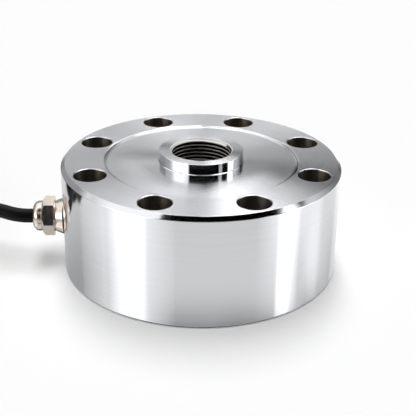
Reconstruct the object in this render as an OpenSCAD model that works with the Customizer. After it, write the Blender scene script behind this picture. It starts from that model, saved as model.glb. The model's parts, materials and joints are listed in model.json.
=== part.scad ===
// Pancake load cell: a sensing disc turned and milled from one piece of steel, with a threaded hub on
// spokes, two ring covers, bonded strain gauges, their wiring and a cable gland with its signal cable.
// +Z is up, the origin is the centre of the base, and the cable leaves towards -X.

/* [Sensing body] */
// Outside diameter of the body
body_d = 143; // [132:1:160]
// Height of the rim
body_h = 57.5; // [54:0.5:70]
// Width of the rim's flat faces
rim_w = 22.25; // [21.5:0.25:23]
// Bevel at the top outer edge of the rim
rim_bevel = 2; // [0.5:0.1:3]
// Bevel at the bottom outer edge of the rim
base_bevel = 0.8; // [0.3:0.1:2]
// Diameter of the hub between the covers
hub_d = 49; // [47:0.5:52]
// Diameter of the loading boss
boss_d = 42.8; // [39:0.2:44.6]
// Height of the loading boss above the top cover
boss_rise = 6.1; // [3:0.1:12]
// Bevel at the edge of the loading boss
boss_bevel = 0.4; // [0.2:0.1:1]

/* [Load thread] */
// Minor diameter of the load thread
thread_minor_d = 29.8; // [27:0.1:31]
// Diameter of the countersink at each mouth of the thread
thread_sink_d = 32; // [31.4:0.1:35]

/* [Rim holes] */
// Number of bolt holes in the rim
rim_hole_count = 8; // [4:4:12]
// Diameter of a bolt hole
rim_hole_d = 16; // [10:0.1:17]
// Distance from the outside of the body to the axis of a bolt hole
rim_hole_edge = 12; // [11:0.5:12.5]
// Depth of the countersink at each mouth of a bolt hole
rim_hole_sink = 0.5; // [0.2:0.1:1.2]

/* [Spokes] */
// Number of spokes between the hub and the rim
spoke_count = 4; // [3:1:4]
// Width of a spoke
spoke_w = 16; // [13:0.5:18]
// Radius of the corners of the windows between the spokes
window_corner_r = 4; // [2:0.5:5]
// Depth of the wiring channels over and under the spokes
channel_depth = 5; // [4.8:0.1:7]
// Radius in the bottom corners of the wiring channels
channel_fillet = 1.2; // [0.5:0.1:1.6]
// Diameter of a gauge pocket in the flank of a spoke
pocket_d = 13; // [12:0.5:14]
// Depth of a gauge pocket
pocket_depth = 2.5; // [1:0.1:3.5]

/* [Covers] */
// Depth of the covers' outer faces below the faces of the rim
recess_depth = 1.2; // [0.6:0.1:2]
// Bevel at the edge of a recess
recess_bevel = 0.5; // [0.2:0.1:0.8]
// Thickness of a cover
cover_t = 2; // [1.2:0.1:3]
// Width of the ledge that carries a cover
ledge_w = 2.8; // [2:0.1:4]
// Gap at the inner and outer edge of a cover
cover_gap = 0.15; // [0.05:0.05:0.3]

/* [Strain gauges] */
// Side of a gauge's square backing
gauge_side = 7.6; // [6.4:0.2:8]
// Thickness of a gauge's backing
gauge_t = 0.25; // [0.1:0.05:0.5]
// Height of the solder tab on a gauge
gauge_tab_t = 0.4; // [0.2:0.1:0.8]
// Diameter of a gauge's pair of lead wires
lead_d = 1.2; // [0.6:0.1:1.4]
// Diameter of the wiring ring that joins the gauges
harness_d = 2.6; // [1.6:0.1:3.4]

/* [Bridge board] */
// Thickness of the board
board_t = 1.6; // [1:0.1:2]
// Distance of the board's edges from the channel's walls
board_margin = 2; // [1.5:0.1:3]
// Angle that each end of the board reaches past the middle of its spoke
board_overlap = 15; // [13:0.5:18]
// Diameter of a trimming resistor
resistor_d = 2.2; // [1.4:0.1:2.6]
// Length of a trimming resistor
resistor_len = 6.4; // [4:0.2:8]

/* [Cable gland] */
// Height of the gland's axis above the base
gland_z = 25; // [20:0.5:32]
// Depth of the flat that is spot-faced for the gland
spot_depth = 0.7; // [0.5:0.1:1.2]
// Diameter of the gland's threaded port
port_d = 14.8; // [12:0.1:15]
// Depth of the gland's threaded port
port_depth = 10; // [8.5:0.5:14]
// Diameter of the cable passage behind the port
passage_d = 9; // [8.4:0.2:11]
// Thickness of the flat seal under the collar
washer_t = 0.6; // [0.4:0.1:1.5]
// Length of the flared collar
collar_len = 3.9; // [3:0.1:6]
// Diameter of the collar where it meets its seal
collar_d = 19.3; // [17.6:0.1:20]
// Diameter of the neck and of the nut's dome
neck_d = 15.8; // [15.6:0.1:16.6]
// Length of the neck
neck_len = 1.3; // [0.8:0.1:3]
// Distance across the flats of the nut
nut_af = 18; // [17:0.1:20]
// Length of the nut's hexagon
nut_hex_len = 6.1; // [5.6:0.1:8]
// Length of the nut's dome
nut_dome_len = 5.7; // [5:0.1:7]
// Angle at which the nut stopped when it was tightened
nut_turn = 25; // [0:1:59]

/* [Signal cable] */
// Diameter of the cable
cable_d = 7.4; // [6.4:0.1:7.6]
// Diameter of an insulated core
core_d = 1.5; // [1:0.1:1.6]
// Diameter of the screen's drain wire
drain_d = 1; // [0.6:0.1:1.1]
// Mean diameter of the coiled cable
coil_d = 80; // [78:0.5:82]
// Length of the sleeve at the cable's free end
sleeve_len = 18; // [16:0.5:19]
// Width of a cable tie
tie_w = 4.5; // [2.5:0.1:7]
// Thickness of a cable tie
tie_t = 1.2; // [0.8:0.1:1.6]

/* [Hidden] */
$fn = 96;
slack = 0.1;
body_r = body_d / 2;
hub_r = hub_d / 2;
boss_r = boss_d / 2;
recess_r = body_r - rim_w;
channel_r = recess_r - ledge_w;
top_cover_z = body_h - recess_depth - cover_t;
boss_z = body_h - recess_depth + boss_rise;
floor_cover_z = recess_depth;
spoke_top = top_cover_z - channel_depth;
spoke_bottom = recess_depth + cover_t + channel_depth;
spoke_mid = (spoke_top + spoke_bottom) / 2;
gauge_count = 2 * spoke_count;

flank_y = spoke_w / 2;
web_y = flank_y - pocket_depth;
corner_y = flank_y + window_corner_r;
inner_corner_x = sqrt(pow(hub_r + window_corner_r, 2) - pow(corner_y, 2));
outer_corner_x = sqrt(pow(channel_r - window_corner_r, 2) - pow(corner_y, 2));
pocket_x = (inner_corner_x + outer_corner_x) / 2;

harness_r = (hub_r + channel_r) / 2;
lead_y = flank_y + 2.2;
tab_w = 2.2;
tab_h = 1.2;
tab_z = spoke_mid + gauge_side * 0.38;
board_span = 360 / spoke_count + 2 * board_overlap;
board_top = spoke_top + board_t;

seat_x = body_r - spot_depth;
spot_d = collar_d + 1.1;
spigot_len = port_depth - 1;
collar_end = washer_t + collar_len;
neck_end = collar_end + neck_len;
hex_end = neck_end + nut_hex_len;
nut_tip = hex_end + nut_dome_len;
nut_wall = 1.2;
front_r = neck_d / 2 - nut_wall;
front_end = neck_end + 5;
dome_straight = 2.3;
seal_end = hex_end + dome_straight;
mouth_r = cable_d / 2 + 0.2;
lip_r = mouth_r + 0.4;
sheath_start = nut_tip - 2;
sheath_end = spot_depth - body_r + channel_r - 1.6;

coil_layers = 4;
coil_columns = 3;
coil_pitch = cable_d + slack;
coil_w = (coil_columns - 1) * coil_pitch + cable_d;
coil_h = (coil_layers - 1) * coil_pitch + cable_d;
coil_base = tie_t + slack;
coil_top = coil_base + coil_h;
tie_angles = [120, 180, 240];

rest_z = cable_d / 2;
lead_x = -seat_x - sheath_start;
// Way of the free cable: distance from the gland's mouth, sideways, and share of the gland's height
lead_path = [
    [0, 0, 1], [5.6, 0, 1], [11.6, 0.9, 1.019], [18.6, 3, 1.066], [25.6, 5, 1.094], [32.6, 6.5, 1.056],
    [39.6, 7.4, 0.948], [46.6, 7.8, 0.756], [53.6, 7.6, 0.493], [60.6, 7, 0.268], [64.6, 6.5, 0.183],
];
lead_route = [for (p = lead_path) [lead_x - p.x, p.y, rest_z + (gland_z - rest_z) * p.z]];
lead_end = lead_route[len(lead_route) - 1];
lead_gap = 0.3;
// Direction from the end of the lead to the middle of the coil
coil_turn = 128;
coil_reach = coil_d / 2 + coil_w / 2 + cable_d / 2 + lead_gap;
coil_x = lead_end.x + coil_reach * cos(coil_turn);
coil_y = lead_end.y + coil_reach * sin(coil_turn);
tail_r = coil_d / 2 - 3;
tail_start = 100;
tail_end = 60;
tail_run = 6;
tail_step = 8;
tail_turn = [sin(tail_end), -cos(tail_end), 0];
sleeve_wall = 0.5;
sleeve_r = cable_d / 2 + sleeve_wall;
tail_z = coil_top + sleeve_r + slack;
tail_tip = [tail_r * cos(tail_end), tail_r * sin(tail_end), tail_z] + tail_run * tail_turn;
sleeve_web = 1;
sleeve_lap = 8;
fan_route = [
    [42, 17.6, 3.2], [44, 13.6, 2.2], [44.6, 9, 1.2], [44.2, 4, 0.8],
    [43, -2, 0.8], [41, -8, 0.8], [38, -14, 0.8],
];
fan_spread = [1.05, 1.2, 1.5, 1.9, 2.4, 2.9, 3.4];
core_names = ["red", "green", "white", "black"];
core_colours = ["crimson", "seagreen", "whitesmoke", "dimgray"];
core_gap = core_d + slack;

// Places its children on the middle line of spoke k, with +X pointing outwards
module on_spoke(k) rotate(180 + (k + 0.5) * 360 / spoke_count) children();

// Places its children at the gland's seat, with +Z pointing out along the cable
module at_gland() translate([-seat_x, 0, gland_z]) rotate([0, -90, 0]) children();

// Places its children in the middle of the coiled cable, on the ground
module at_coil() translate([coil_x, coil_y, 0]) children();

function unit(v) = v / norm(v);
function heading(route, i) = unit(route[min(i + 1, len(route) - 1)] - route[max(i - 1, 0)]);
function ring(centre, along, hint, r, sides) =
    let (across = unit(cross(hint, along)), up = cross(along, across))
    [for (k = [0:sides - 1]) centre + r * (cos(360 * k / sides) * across + sin(360 * k / sides) * up)];

// Round tube swept along a route; hint is a direction that the route never takes
module tube(route, r, sides = 8, hint = [0, 0, 1]) {
    last = len(route) - 1;
    points = [for (i = [0:last]) each ring(route[i], heading(route, i), hint, r, sides)];
    walls = [for (i = [0:last - 1]) for (k = [0:sides - 1])
        let (next = (k + 1) % sides)
        [i * sides + k, (i + 1) * sides + k, (i + 1) * sides + next, i * sides + next]];
    first_end = [for (k = [0:sides - 1]) k];
    last_end = [for (k = [0:sides - 1]) last * sides + sides - 1 - k];
    polyhedron(points, concat(walls, [first_end, last_end]), convexity = 6);
}

// Through hole with a countersink at both mouths
module sunk_hole(d, sink, bottom, top) {
    translate([0, 0, bottom - 1]) cylinder(d = d, h = top - bottom + 2);
    translate([0, 0, bottom - slack]) cylinder(r1 = d / 2 + sink + slack, r2 = d / 2, h = sink + slack);
    translate([0, 0, top - sink]) cylinder(r1 = d / 2, r2 = d / 2 + sink + slack, h = sink + slack);
}

// The disc as it comes off the lathe, with the boss on top and a bevel at each outer edge
module turned_blank() rotate_extrude() polygon([
    [0, floor_cover_z], [recess_r, floor_cover_z], [recess_r + recess_bevel, 0],
    [body_r - base_bevel, 0], [body_r, base_bevel], [body_r, body_h - rim_bevel],
    [body_r - rim_bevel, body_h], [recess_r + recess_bevel, body_h],
    [recess_r, body_h - recess_bevel], [recess_r, body_h - recess_depth],
    [boss_r, body_h - recess_depth], [boss_r, boss_z - boss_bevel],
    [boss_r - boss_bevel, boss_z], [0, boss_z],
]);

// Seat of a cover and the wiring channel under it, turned from z = 0 upwards
module ring_channel() rotate_extrude() {
    translate([boss_r, -slack]) square([recess_r - boss_r, cover_t + slack]);
    translate([hub_r, 0]) square([channel_r - hub_r, cover_t + channel_depth - channel_fillet]);
    translate([hub_r + channel_fillet, 0])
        square([channel_r - hub_r - 2 * channel_fillet, cover_t + channel_depth]);
    for (x = [hub_r + channel_fillet, channel_r - channel_fillet])
        translate([x, cover_t + channel_depth - channel_fillet]) circle(r = channel_fillet);
}

// What is left of a ring between the spokes when each spoke is 2 * half wide
module ring_sectors(inner, outer, half) difference() {
    cylinder(r = outer, h = body_h);
    translate([0, 0, -1]) cylinder(r = inner, h = body_h + 2);
    for (k = [0:spoke_count - 1]) on_spoke(k) translate([0, -half, -1]) cube([body_r, 2 * half, body_h + 2]);
}

// All windows between the spokes, milled with round corners
module windows() {
    ring_sectors(hub_r + window_corner_r, channel_r - window_corner_r, flank_y);
    ring_sectors(hub_r, channel_r, corner_y);
    for (k = [0:spoke_count - 1]) on_spoke(k) for (side = [-1, 1], x = [inner_corner_x, outer_corner_x])
        translate([x, side * corner_y, 0]) cylinder(r = window_corner_r, h = body_h);
}

// The windows kept between the two wiring channels
module window_cuts() intersection() {
    windows();
    translate([0, 0, recess_depth + cover_t]) cylinder(r = body_r, h = top_cover_z - recess_depth - cover_t);
}

// Shallow round pockets that thin each spoke to its measuring web
module gauge_pockets() for (k = [0:spoke_count - 1]) on_spoke(k) for (side = [-1, 1])
    translate([pocket_x, side * web_y, spoke_mid]) rotate([-90 * side, 0, 0])
        cylinder(d = pocket_d, h = pocket_depth + window_corner_r);

// Spot-faced flat, threaded port and cable passage through the rim
module gland_port() at_gland() {
    cylinder(d = spot_d, h = spot_depth + 1);
    translate([0, 0, -port_depth]) cylinder(d = port_d, h = port_depth + 1);
    translate([0, 0, -(seat_x - harness_r)]) cylinder(d = passage_d, h = seat_x - harness_r);
}

module rim_holes() for (i = [0:rim_hole_count - 1])
    rotate((i + 0.5) * 360 / rim_hole_count) translate([body_r - rim_hole_edge, 0, 0])
        sunk_hole(rim_hole_d, rim_hole_sink, 0, body_h);

module sensing_body() color("silver") difference() {
    turned_blank();
    translate([0, 0, top_cover_z + cover_t]) mirror([0, 0, 1]) ring_channel();
    translate([0, 0, floor_cover_z]) ring_channel();
    window_cuts();
    gauge_pockets();
    rim_holes();
    sunk_hole(thread_minor_d, (thread_sink_d - thread_minor_d) / 2, floor_cover_z, boss_z);
    gland_port();
}

// Thin ring that closes a wiring channel
module cover_ring() difference() {
    cylinder(r = recess_r - cover_gap, h = cover_t);
    translate([0, 0, -1]) cylinder(r = boss_r + cover_gap, h = cover_t + 2);
}

module top_cover() color("gainsboro") translate([0, 0, top_cover_z]) cover_ring();

module bottom_cover() color("gainsboro") translate([0, 0, floor_cover_z]) cover_ring();

// Places its children on the floor of gauge pocket i, with +Y pointing out of the pocket
module in_pocket(i) on_spoke(floor((i - 1) / 2)) mirror([0, i % 2, 0]) translate([0, web_y, 0]) children();

// Foil gauge on a square backing turned by 45 degrees, with its solder tab at the upper corner
module strain_gauge(i) color("darkorange") in_pocket(i) {
    translate([pocket_x, gauge_t / 2, spoke_mid]) rotate([0, 45, 0])
        cube([gauge_side, gauge_t, gauge_side], center = true);
    translate([pocket_x - tab_w / 2, 0, tab_z - tab_h / 2]) cube([tab_w, gauge_t + gauge_tab_t, tab_h]);
}

// Lead wires from the solder tab of gauge i up the window to the level of the spokes' top
module gauge_lead(i) color("sienna") in_pocket(i) {
    top_x = sqrt(pow(harness_r, 2) - pow(lead_y, 2));
    drop_y = lead_y - web_y;
    end_y = gauge_t + gauge_tab_t;
    tube([
        [top_x, drop_y, spoke_top], [top_x, drop_y, spoke_top - 4], [top_x, drop_y, tab_z + 5],
        [top_x, drop_y - 0.4, tab_z + 2.6], [pocket_x, drop_y - 1.2, tab_z + 0.8],
        [pocket_x, (drop_y + end_y) / 2, tab_z], [pocket_x, end_y, tab_z],
    ], lead_d / 2, 6, [1, 0, 0]);
}

// Bundle of bridge wires that lies on the spokes, from one end of the board round to the other
module gauge_harness() color("sienna")
    rotate(180 + board_span / 2) translate([0, 0, spoke_top + harness_d / 2 + slack])
        rotate_extrude(angle = 360 - board_span) translate([harness_r, 0]) circle(d = harness_d);

// Ring-shaped board that bridges the window at the cable entry and rests on the spokes beside it
module bridge_board() color("darkgreen") {
    inner = hub_r + board_margin;
    outer = channel_r - board_margin;
    rotate(180 - board_span / 2) translate([0, 0, spoke_top])
        rotate_extrude(angle = board_span) translate([inner, 0]) square([outer - inner, board_t]);
}

// Wire-ended resistor that lies on the board at an angle from the cable entry
module board_resistor(angle) {
    end_len = resistor_len / 6;
    end_d = resistor_d + 0.3;
    wire_x = resistor_len / 2 + 1;
    wire_r = 0.3;
    rotate(180 + angle) translate([harness_r, 0, board_top]) rotate(90) {
        translate([-resistor_len / 2, 0, end_d / 2]) rotate([0, 90, 0]) {
            cylinder(d = resistor_d, h = resistor_len);
            cylinder(d = end_d, h = end_len);
            translate([0, 0, resistor_len - end_len]) cylinder(d = end_d, h = end_len);
        }
        for (side = [-1, 1]) translate([side * wire_x, 0, 0]) cylinder(r = wire_r, h = end_d / 2 + wire_r);
        translate([-wire_x, 0, end_d / 2]) rotate([0, 90, 0]) cylinder(r = wire_r, h = 2 * wire_x);
    }
}

module zero_resistor() color("tan") board_resistor(-38);

module span_resistor() color("tan") board_resistor(-20);

module balance_resistor() color("tan") board_resistor(38);

// Small bobbin of nickel wire that trims the bridge against temperature
module temperature_spool() color("darkkhaki") rotate(200) translate([harness_r, 0, board_top]) {
    spool_h = channel_depth - board_t - 0.5;
    flange_t = 0.4;
    cylinder(r = 2.2, h = spool_h);
    for (z = [0, spool_h - flange_t]) translate([0, 0, z]) cylinder(r = 2.8, h = flange_t);
}

module gland_washer() color("black") at_gland() difference() {
    cylinder(d = collar_d - 0.5, h = washer_t);
    translate([0, 0, -1]) cylinder(d = port_d, h = washer_t + 2);
}

// Nickel-plated gland body: threaded spigot, flared collar, ringed neck and the tube that holds the seal
module gland_body() color("lightgray") at_gland() difference() {
    rotate_extrude() polygon([
        [cable_d / 2 + 0.4, -spigot_len], [port_d / 2 - slack - 0.6, -spigot_len],
        [port_d / 2 - slack, 0.6 - spigot_len], [port_d / 2 - slack, washer_t],
        [collar_d / 2, washer_t], [collar_d / 2, washer_t + 0.8],
        [neck_d / 2 + 0.4, collar_end - 0.5], [neck_d / 2, collar_end], [neck_d / 2 - 0.5, collar_end + 0.2],
        [neck_d / 2 - 0.5, collar_end + neck_len / 2 - 0.1], [neck_d / 2, collar_end + neck_len / 2],
        [neck_d / 2, neck_end], [front_r - slack, neck_end], [front_r - slack, front_end],
        [cable_d / 2 + 0.4, front_end],
    ]);
    translate([0, 0, neck_end - 0.5]) cylinder(r = front_r - 1.4, h = front_end);
}

// Rubber bush that is squeezed onto the cable
module gland_seal() color("dimgray") at_gland() translate([0, 0, neck_end - 0.5]) difference() {
    cylinder(r = front_r - 1.4 - slack, h = seal_end - neck_end + 0.5);
    translate([0, 0, -1]) cylinder(d = cable_d + slack, h = seal_end);
}

// Slotted plastic ring that the nut closes round the rubber bush
module gland_clamp() color("ivory") at_gland() translate([0, 0, front_end]) difference() {
    cylinder(r = front_r - slack, h = seal_end - front_end);
    translate([0, 0, -1]) cylinder(r = front_r - 1.4, h = seal_end);
    for (i = [0:5]) rotate(60 * i) translate([front_r - 2, -0.4, 1]) cube([3, 0.8, seal_end]);
}

// Quarter of an ellipse from the dome's shoulder to the lip of its mouth
function dome_points() = [for (a = [0:10:90])
    [lip_r + (neck_d / 2 - lip_r) * cos(a), seal_end + (nut_tip - seal_end) * sin(a)]];

// Domed nut with a hexagon whose corners are turned round at the cable's side
module gland_nut() color("lightgray") at_gland() difference() {
    union() {
        intersection() {
            translate([0, 0, neck_end]) rotate(nut_turn)
                cylinder(r = nut_af / 2 / cos(30), h = nut_hex_len, $fn = 6);
            translate([0, 0, neck_end - 1])
                cylinder(r1 = nut_af / 2 + nut_hex_len, r2 = nut_af / 2 - 0.2, h = nut_hex_len + 1);
        }
        rotate_extrude() polygon(concat(
            [[0, hex_end - 1], [neck_d / 2 - 0.4, hex_end - 1], [neck_d / 2 - 0.4, hex_end + 0.4],
             [neck_d / 2, hex_end + 0.7]],
            dome_points(),
            [[0, nut_tip]]));
    }
    translate([0, 0, neck_end - 1]) cylinder(r = front_r, h = seal_end - neck_end + 1);
    translate([0, 0, seal_end]) cylinder(r1 = front_r, r2 = mouth_r, h = 1.6);
    translate([0, 0, seal_end]) cylinder(r = mouth_r, h = nut_tip);
}

// Cable from the gland's mouth through the rim to the window behind it
module inner_sheath() color("black") at_gland()
    translate([0, 0, sheath_end]) cylinder(d = cable_d, h = sheath_start - sheath_end);

// Core or drain wire from the end of the sheath up to the underside of the board
module inner_wire(place, r) {
    x = -seat_x - sheath_end;
    y = place * core_gap;
    tube([
        [x, y, gland_z], [x + 2.4, y, gland_z], [x + 4.8, 1.1 * y, gland_z + 1.2],
        [x + 6.6, 1.3 * y, gland_z + 4], [x + 7.4, 1.6 * y, gland_z + 8],
        [x + 7.6, 2.1 * y, (gland_z + spoke_top) / 2], [x + 7.6, 2.6 * y, spoke_top - 3],
        [x + 7.6, 2.6 * y, spoke_top],
    ], r, 6, [0, 1, 0]);
}

module inner_core(i) color(core_colours[i]) inner_wire(i < 2 ? i - 2 : i - 1, core_d / 2);

module inner_drain() color("lightgray") inner_wire(0, drain_d / 2);

module cable_lead() color("black") tube(lead_route, cable_d / 2, 10);

// Outline of the coiled turns, cut through on one side, grown by extra
module coil_section(extra) {
    r = cable_d / 2;
    translate([-coil_w / 2 - extra, r]) square([coil_w + 2 * extra, coil_h - 2 * r]);
    translate([r - coil_w / 2, -extra]) square([coil_w - 2 * r, coil_h + 2 * extra]);
    for (x = [r - coil_w / 2, coil_w / 2 - r], z = [r, coil_h - r]) translate([x, z]) circle(r = r + extra);
}

module cable_coil() color("black") at_coil() translate([0, 0, coil_base])
    rotate_extrude() translate([coil_d / 2, 0]) coil_section(0);

// Last stretch of the cable, which lies on top of the coiled turns
module cable_tail() color("black") at_coil() {
    bend = [for (a = [tail_start:-tail_step:tail_end]) [tail_r * cos(a), tail_r * sin(a), tail_z]];
    tube(concat(bend, [tail_tip]), cable_d / 2, 10);
}

// Places its children at the end of the sheath, with +Z pointing along the cable
module at_tail_end() at_coil() translate(tail_tip) rotate([0, 90, tail_end - 90]) children();

// Shrunk sleeve over the end of the sheath and the start of the cores
module end_sleeve() color("black") at_tail_end() translate([0, 0, -sleeve_lap]) difference() {
    cylinder(r = sleeve_r, h = sleeve_len);
    translate([0, 0, -1]) cylinder(r = cable_d / 2 + 0.2, h = sleeve_lap + 1);
    translate([0, 0, sleeve_lap + sleeve_web]) cylinder(r = cable_d / 2 - 0.2, h = sleeve_len);
}

// Wire from the sleeve that fans out on top of the coiled turns, places[i] cores to one side
module free_wire(place, r, drop, points) {
    start = tail_tip + sleeve_web * tail_turn - [0, 0, drop];
    side = [cos(tail_end), sin(tail_end), 0];
    straight = [for (run = [0, 5, 10]) start + run * tail_turn + place * core_gap * side];
    fan = [for (i = [0:points - 1])
        let (before = i == 0 ? start + 10 * tail_turn : fan_route[i - 1],
             after = fan_route[min(i + 1, len(fan_route) - 1)],
             along = unit([after.x - before.x, after.y - before.y, 0]),
             out = [-along.y, along.x, 0],
             rest = coil_top + max(fan_route[i].z - drop, r + slack))
        [fan_route[i].x, fan_route[i].y, rest] + place * core_gap * fan_spread[i] * out];
    at_coil() tube(concat(straight, fan), r, 6);
}

module free_core(i) color(core_colours[i]) free_wire(1.5 - i, core_d / 2, 0, len(fan_route));

module drain_wire() color("lightgray") free_wire(0, drain_d / 2, 1.6, len(fan_route) - 2);

// Nylon tie round the coiled turns, with its head at the outside
module cable_tie(i) color("dimgray") at_coil() rotate(tie_angles[i]) translate([coil_d / 2, 0, coil_base]) {
    translate([0, tie_w / 2, 0]) rotate([90, 0, 0]) linear_extrude(tie_w) difference() {
        coil_section(slack + tie_t);
        coil_section(slack + 0.05);
    }
    translate([coil_w / 2 + slack + tie_t / 2, -tie_w * 0.65, coil_h / 2]) cube([4, tie_w * 1.3, 6]);
}

sensing_body();
top_cover();
bottom_cover();
for (i = [1:gauge_count]) strain_gauge(i);
for (i = [1:gauge_count]) gauge_lead(i);
gauge_harness();
bridge_board();
zero_resistor();
span_resistor();
balance_resistor();
temperature_spool();
gland_washer();
gland_body();
gland_seal();
gland_clamp();
gland_nut();
inner_sheath();
inner_drain();
for (i = [0:3]) inner_core(i);
cable_lead();
cable_coil();
cable_tail();
for (i = [0:2]) cable_tie(i);
end_sleeve();
drain_wire();
for (i = [0:3]) free_core(i);
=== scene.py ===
# %% [markdown]
# # Pancake load cell
# A pancake load cell is a thick disc of steel that weighs whatever pushes or pulls on the thread in its
# middle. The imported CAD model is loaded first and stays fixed: it says where every piece is. The cells
# below give it the look of the real thing, with turned and polished steel, a nickel-plated gland and
# 3 m of black cable.

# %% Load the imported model
import json
import math

import bpy
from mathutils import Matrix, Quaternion, Vector

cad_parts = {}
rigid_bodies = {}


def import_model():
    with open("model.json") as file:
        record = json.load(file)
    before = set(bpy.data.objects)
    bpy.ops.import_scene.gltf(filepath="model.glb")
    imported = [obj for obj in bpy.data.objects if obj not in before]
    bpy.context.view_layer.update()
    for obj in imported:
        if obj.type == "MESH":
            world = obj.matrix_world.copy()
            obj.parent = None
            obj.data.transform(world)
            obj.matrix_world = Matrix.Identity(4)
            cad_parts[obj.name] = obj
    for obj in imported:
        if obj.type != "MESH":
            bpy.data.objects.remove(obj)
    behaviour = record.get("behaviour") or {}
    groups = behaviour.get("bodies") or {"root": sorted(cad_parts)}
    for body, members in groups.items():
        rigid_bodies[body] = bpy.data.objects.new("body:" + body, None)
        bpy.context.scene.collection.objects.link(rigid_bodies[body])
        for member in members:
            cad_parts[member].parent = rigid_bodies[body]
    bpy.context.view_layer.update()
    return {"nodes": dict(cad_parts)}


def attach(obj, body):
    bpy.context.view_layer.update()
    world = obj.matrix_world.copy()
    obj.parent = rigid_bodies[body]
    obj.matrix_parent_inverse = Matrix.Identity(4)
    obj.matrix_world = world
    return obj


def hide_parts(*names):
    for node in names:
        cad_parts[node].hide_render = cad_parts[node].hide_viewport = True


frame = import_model()
nodes = frame["nodes"]

# %% [markdown]
# The part is drawn in millimetres and Blender works in metres, so one short function turns one into
# the other wherever a size or a place is given. An operator acts on all that is selected, and a second
# function makes one piece the only selected one.

# %% Millimetres and selection
def mm(*values):
    """Millimetres to metres: one number, or a tuple of them."""
    metres = tuple(value / 1000 for value in values)
    return metres if len(metres) > 1 else metres[0]


def take(*pieces):
    """Makes these pieces the only selected ones, with the first as the active one."""
    bpy.ops.object.select_all(action="DESELECT")
    for piece in pieces:
        piece.select_set(True)
    bpy.context.view_layer.objects.active = pieces[0] if pieces else None


print("10 mm is", mm(10), "m")

# %% [markdown]
# ## Camera
# The camera stands where the photographer's did: a long lens, 25 degrees above the table and a little to
# the left. The numbers come from fitting the rim, the recess, the boss and the bolt holes to their
# outlines in the picture. The roll and the sideways shift are part of that fit.

# %% Place the camera
picture_width = 416
focal_pixels = 884.3
centre_pixel = 200.47
aim = Vector(mm(0, 0, 29.23))
camera_distance = mm(465.5)
camera_pitch = math.radians(24.9)
camera_turn = math.radians(-2.03)
camera_roll = math.radians(0.8)

take()
bpy.ops.object.camera_add()
camera = bpy.context.object
camera.name = "Camera"
towards_camera = Vector((
    math.sin(camera_turn) * math.cos(camera_pitch),
    -math.cos(camera_turn) * math.cos(camera_pitch),
    math.sin(camera_pitch),
))
camera.location = aim + camera_distance * towards_camera
level = (-towards_camera).to_track_quat("-Z", "Y")
camera.rotation_mode = "QUATERNION"
camera.rotation_quaternion = Quaternion(towards_camera, camera_roll) @ level
camera.data.lens = focal_pixels / picture_width * camera.data.sensor_width
camera.data.shift_x = (picture_width / 2 - centre_pixel) / picture_width
bpy.context.scene.camera = camera
print("camera at", [round(value * 1000, 1) for value in camera.location], "mm")
print("lens", round(camera.data.lens, 1), "mm")

# %% [markdown]
# ## Cable
# The cell is delivered with 3 m of screened cable, 7.4 mm thick, with bare tinned ends. The picture shows
# only the start of it, from the gland to the left edge, so the rest is wound up and tied just outside the
# view. A curve with a round bevel is the natural way to draw a cable: its points are the centre line,
# and the bevel gives the thickness. The first points are those of the CAD model.

# %% The cable's way from the gland to the coil
cable_r = 3.7
gland_z = 25
mouth_x = -86.4
lead_path = [
    (0, 0, 1), (5.6, 0, 1), (11.6, 0.9, 1.019), (18.6, 3, 1.066), (25.6, 5, 1.094), (32.6, 6.5, 1.056),
    (39.6, 7.4, 0.948), (46.6, 7.8, 0.756), (53.6, 7.6, 0.493), (60.6, 7, 0.268), (64.6, 6.5, 0.183),
]
lead = [(mouth_x - x, y, cable_r + (gland_z - cable_r) * share) for x, y, share in lead_path]
landing = [(-154, 6, 6.4), (-161, 4.9, 5.1), (-168, 3.9, 5), (-176, 3, 5)]

# %% [markdown]
# The coil has four layers of three turns. A turn can't simply be a helix, because it would cut through
# its neighbours, so every turn stays at one radius and then steps to the next one within 45 degrees. The
# last turn of a layer climbs at the same place, rolling over the turn that steps beside it. Each layer
# makes its steps 36 degrees earlier than the one below, so the climbing turn always finds free room.

# %% Wind the coil
coil_x, coil_y = -184.985, 49.998
coil_r, coil_z = 47.5, 5.0
layers, turns_per_layer = 4, 3
pitch = 7.5
step_angle = 45
step_lead = 36
tail_angle, past_tail = 4130, 40
tail_rise = 80
point_angle = 15
tail_r, tail_z = 37, 35.5
tail_run = 6


def share_done(turned, end, span):
    """Quarter turn, in radians, that tells how far a step that ends at this angle has come."""
    return math.radians(90) * min(max((turned - end + span) / span, 0), 1)


def place_on_coil(turned):
    """Radius and height of the cable once it has been wound by this angle."""
    radius, height = coil_r, coil_z
    for turn in range(1, layers * turns_per_layer):
        layer = (turn - 1) // turns_per_layer
        share = share_done(turned, 360 * turn - step_lead * (layer + 1), step_angle)
        if turn % turns_per_layer:
            radius += pitch * (-1 if layer % 2 == 0 else 1) * (1 - math.cos(share))
        else:
            height += pitch * math.sin(share)
    share = share_done(turned, tail_angle, tail_rise)
    radius += (tail_r - radius) * (1 - math.cos(share))
    height += (tail_z - height) * math.sin(share)
    return radius, height


coiled = []
for turned in range(0, tail_angle + past_tail, point_angle):
    radius, height = place_on_coil(turned)
    angle = math.radians(-90 - turned)
    coiled.append((coil_x + radius * math.cos(angle), coil_y + radius * math.sin(angle), height))
end_angle = math.radians(60)
along_tail = (math.sin(end_angle), -math.cos(end_angle))
tail_end = [
    (coil_x + tail_r * math.cos(end_angle) + run * along_tail[0],
     coil_y + tail_r * math.sin(end_angle) + run * along_tail[1], tail_z)
    for run in (0, tail_run)
]
cable_route = lead + landing + coiled + tail_end
cable_length = sum(math.dist(a, b) for a, b in zip(cable_route, cable_route[1:]))
print(len(cable_route), "points, straight between them", round(cable_length), "mm")

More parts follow.
